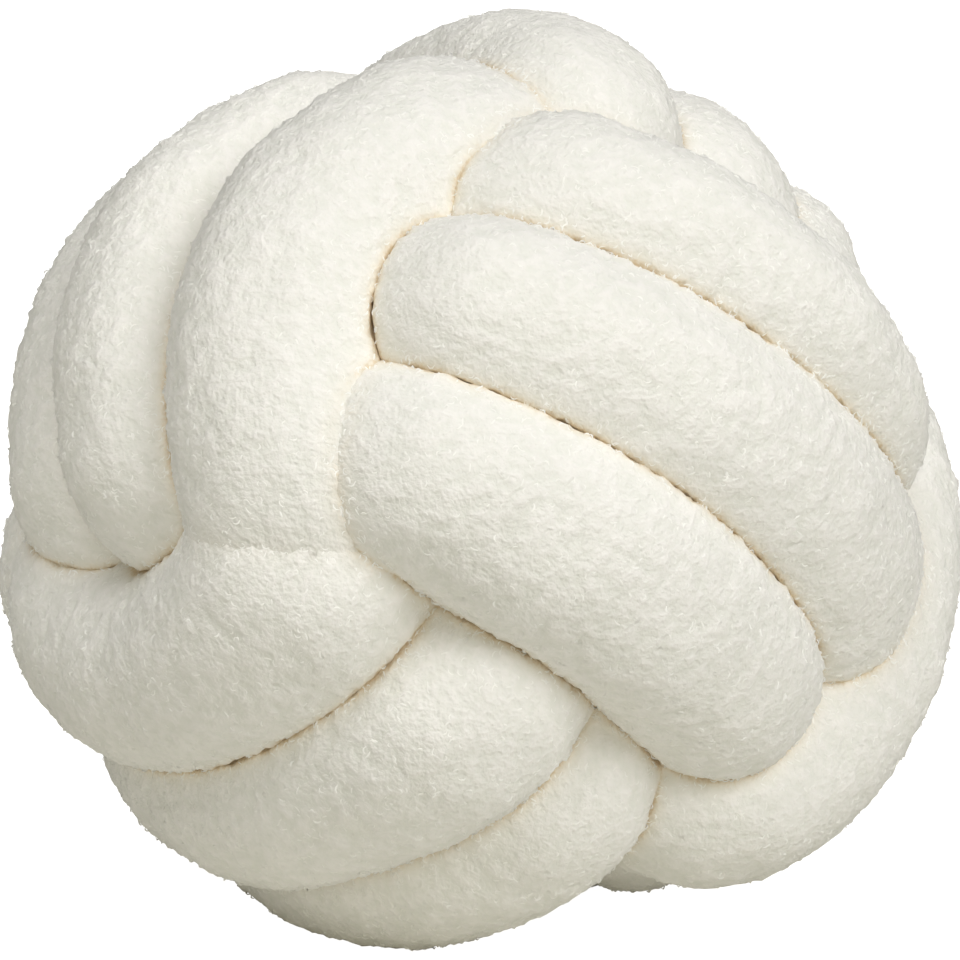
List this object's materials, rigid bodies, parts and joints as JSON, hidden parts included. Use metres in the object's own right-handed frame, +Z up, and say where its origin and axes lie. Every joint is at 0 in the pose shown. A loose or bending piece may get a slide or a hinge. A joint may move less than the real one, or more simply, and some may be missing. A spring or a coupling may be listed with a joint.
{
  "type": "knot ball cushion",
  "caption": "Round throw cushion: one stuffed tube of cream looped-pile cloth wound into a three-strand ball knot.",
  "frame": {"origin": "middle of the underside of the part's box, on the surface that the ball rests on", "axes": "+Z up, +X to the right in the picture, +Y away from the viewer; the ball is a little wider along X than it is high"},
  "size_m": [0.3074, 0.2944, 0.287],
  "materials": {
    "boucle_cloth": "matte cream cloth with a short curly pile"
  },
  "bodies": {
    "root": {"knotted_tube": "boucle_cloth"}
  },
  "joints": []
}
